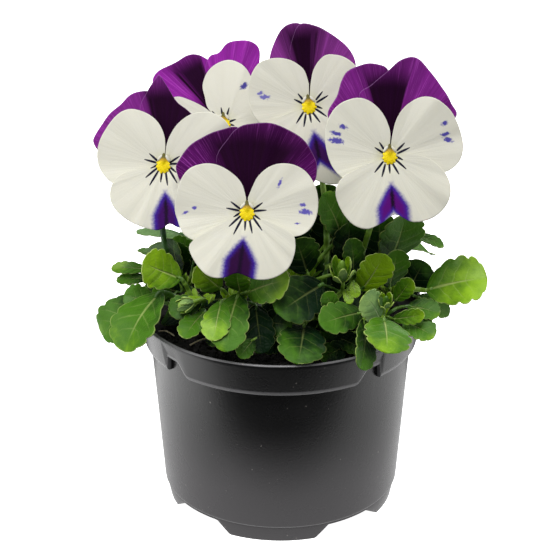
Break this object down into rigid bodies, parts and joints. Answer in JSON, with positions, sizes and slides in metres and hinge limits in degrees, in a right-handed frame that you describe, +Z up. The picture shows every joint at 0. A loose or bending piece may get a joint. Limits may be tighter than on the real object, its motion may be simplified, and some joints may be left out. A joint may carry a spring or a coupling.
{
  "type": "potted horned violet",
  "caption": "Horned violet in bloom in a small round black nursery pot, with purple and cream flowers over scalloped green leaves.",
  "frame": {"origin": "centre of the plant's outline on the surface that the pot stands on", "axes": "+Z up, -Y towards the front of the plant, +X to its right seen from the front"},
  "size_m": [0.1219, 0.0946, 0.1522],
  "materials": {
    "pot_plastic": "satin black moulded plastic",
    "soil_crumb": "damp dark potting soil",
    "petal_purple": "velvety violet petal with fine veins",
    "petal_cream": "creamy white petal with a violet blotch and dark whiskers",
    "pistil_yellow": "yellow and green flower heart",
    "stalk_green": "smooth green stalk",
    "leaf_green": "slightly glossy green leaf with pale veins"
  },
  "bodies": {
    "root": {"pot": "pot_plastic", "soil": "soil_crumb", "bloom_1_upper_petals": "petal_purple", "bloom_1_lower_petals": "petal_cream", "bloom_1_pistil": "pistil_yellow", "bloom_1_stalk": "stalk_green", "bloom_2_upper_petals": "petal_purple", "bloom_2_lower_petals": "petal_cream", "bloom_2_pistil": "pistil_yellow", "bloom_2_stalk": "stalk_green", "bloom_3_upper_petals": "petal_purple", "bloom_3_lower_petals": "petal_cream", "bloom_3_pistil": "pistil_yellow", "bloom_3_stalk": "stalk_green", "bloom_4_upper_petals": "petal_purple", "bloom_4_lower_petals": "petal_cream", "bloom_4_pistil": "pistil_yellow", "bloom_4_stalk": "stalk_green", "bloom_5_upper_petals": "petal_purple", "bloom_5_lower_petals": "petal_cream", "bloom_5_pistil": "pistil_yellow", "bloom_5_stalk": "stalk_green", "shoot_left_front": "leaf_green", "shoot_left": "leaf_green", "shoot_front": "leaf_green", "shoot_front_right": "leaf_green", "shoot_right_front": "leaf_green", "shoot_right": "leaf_green", "shoot_middle": "leaf_green", "shoot_back_left": "leaf_green", "shoot_back": "leaf_green", "shoot_back_right": "leaf_green"}
  },
  "joints": []
}
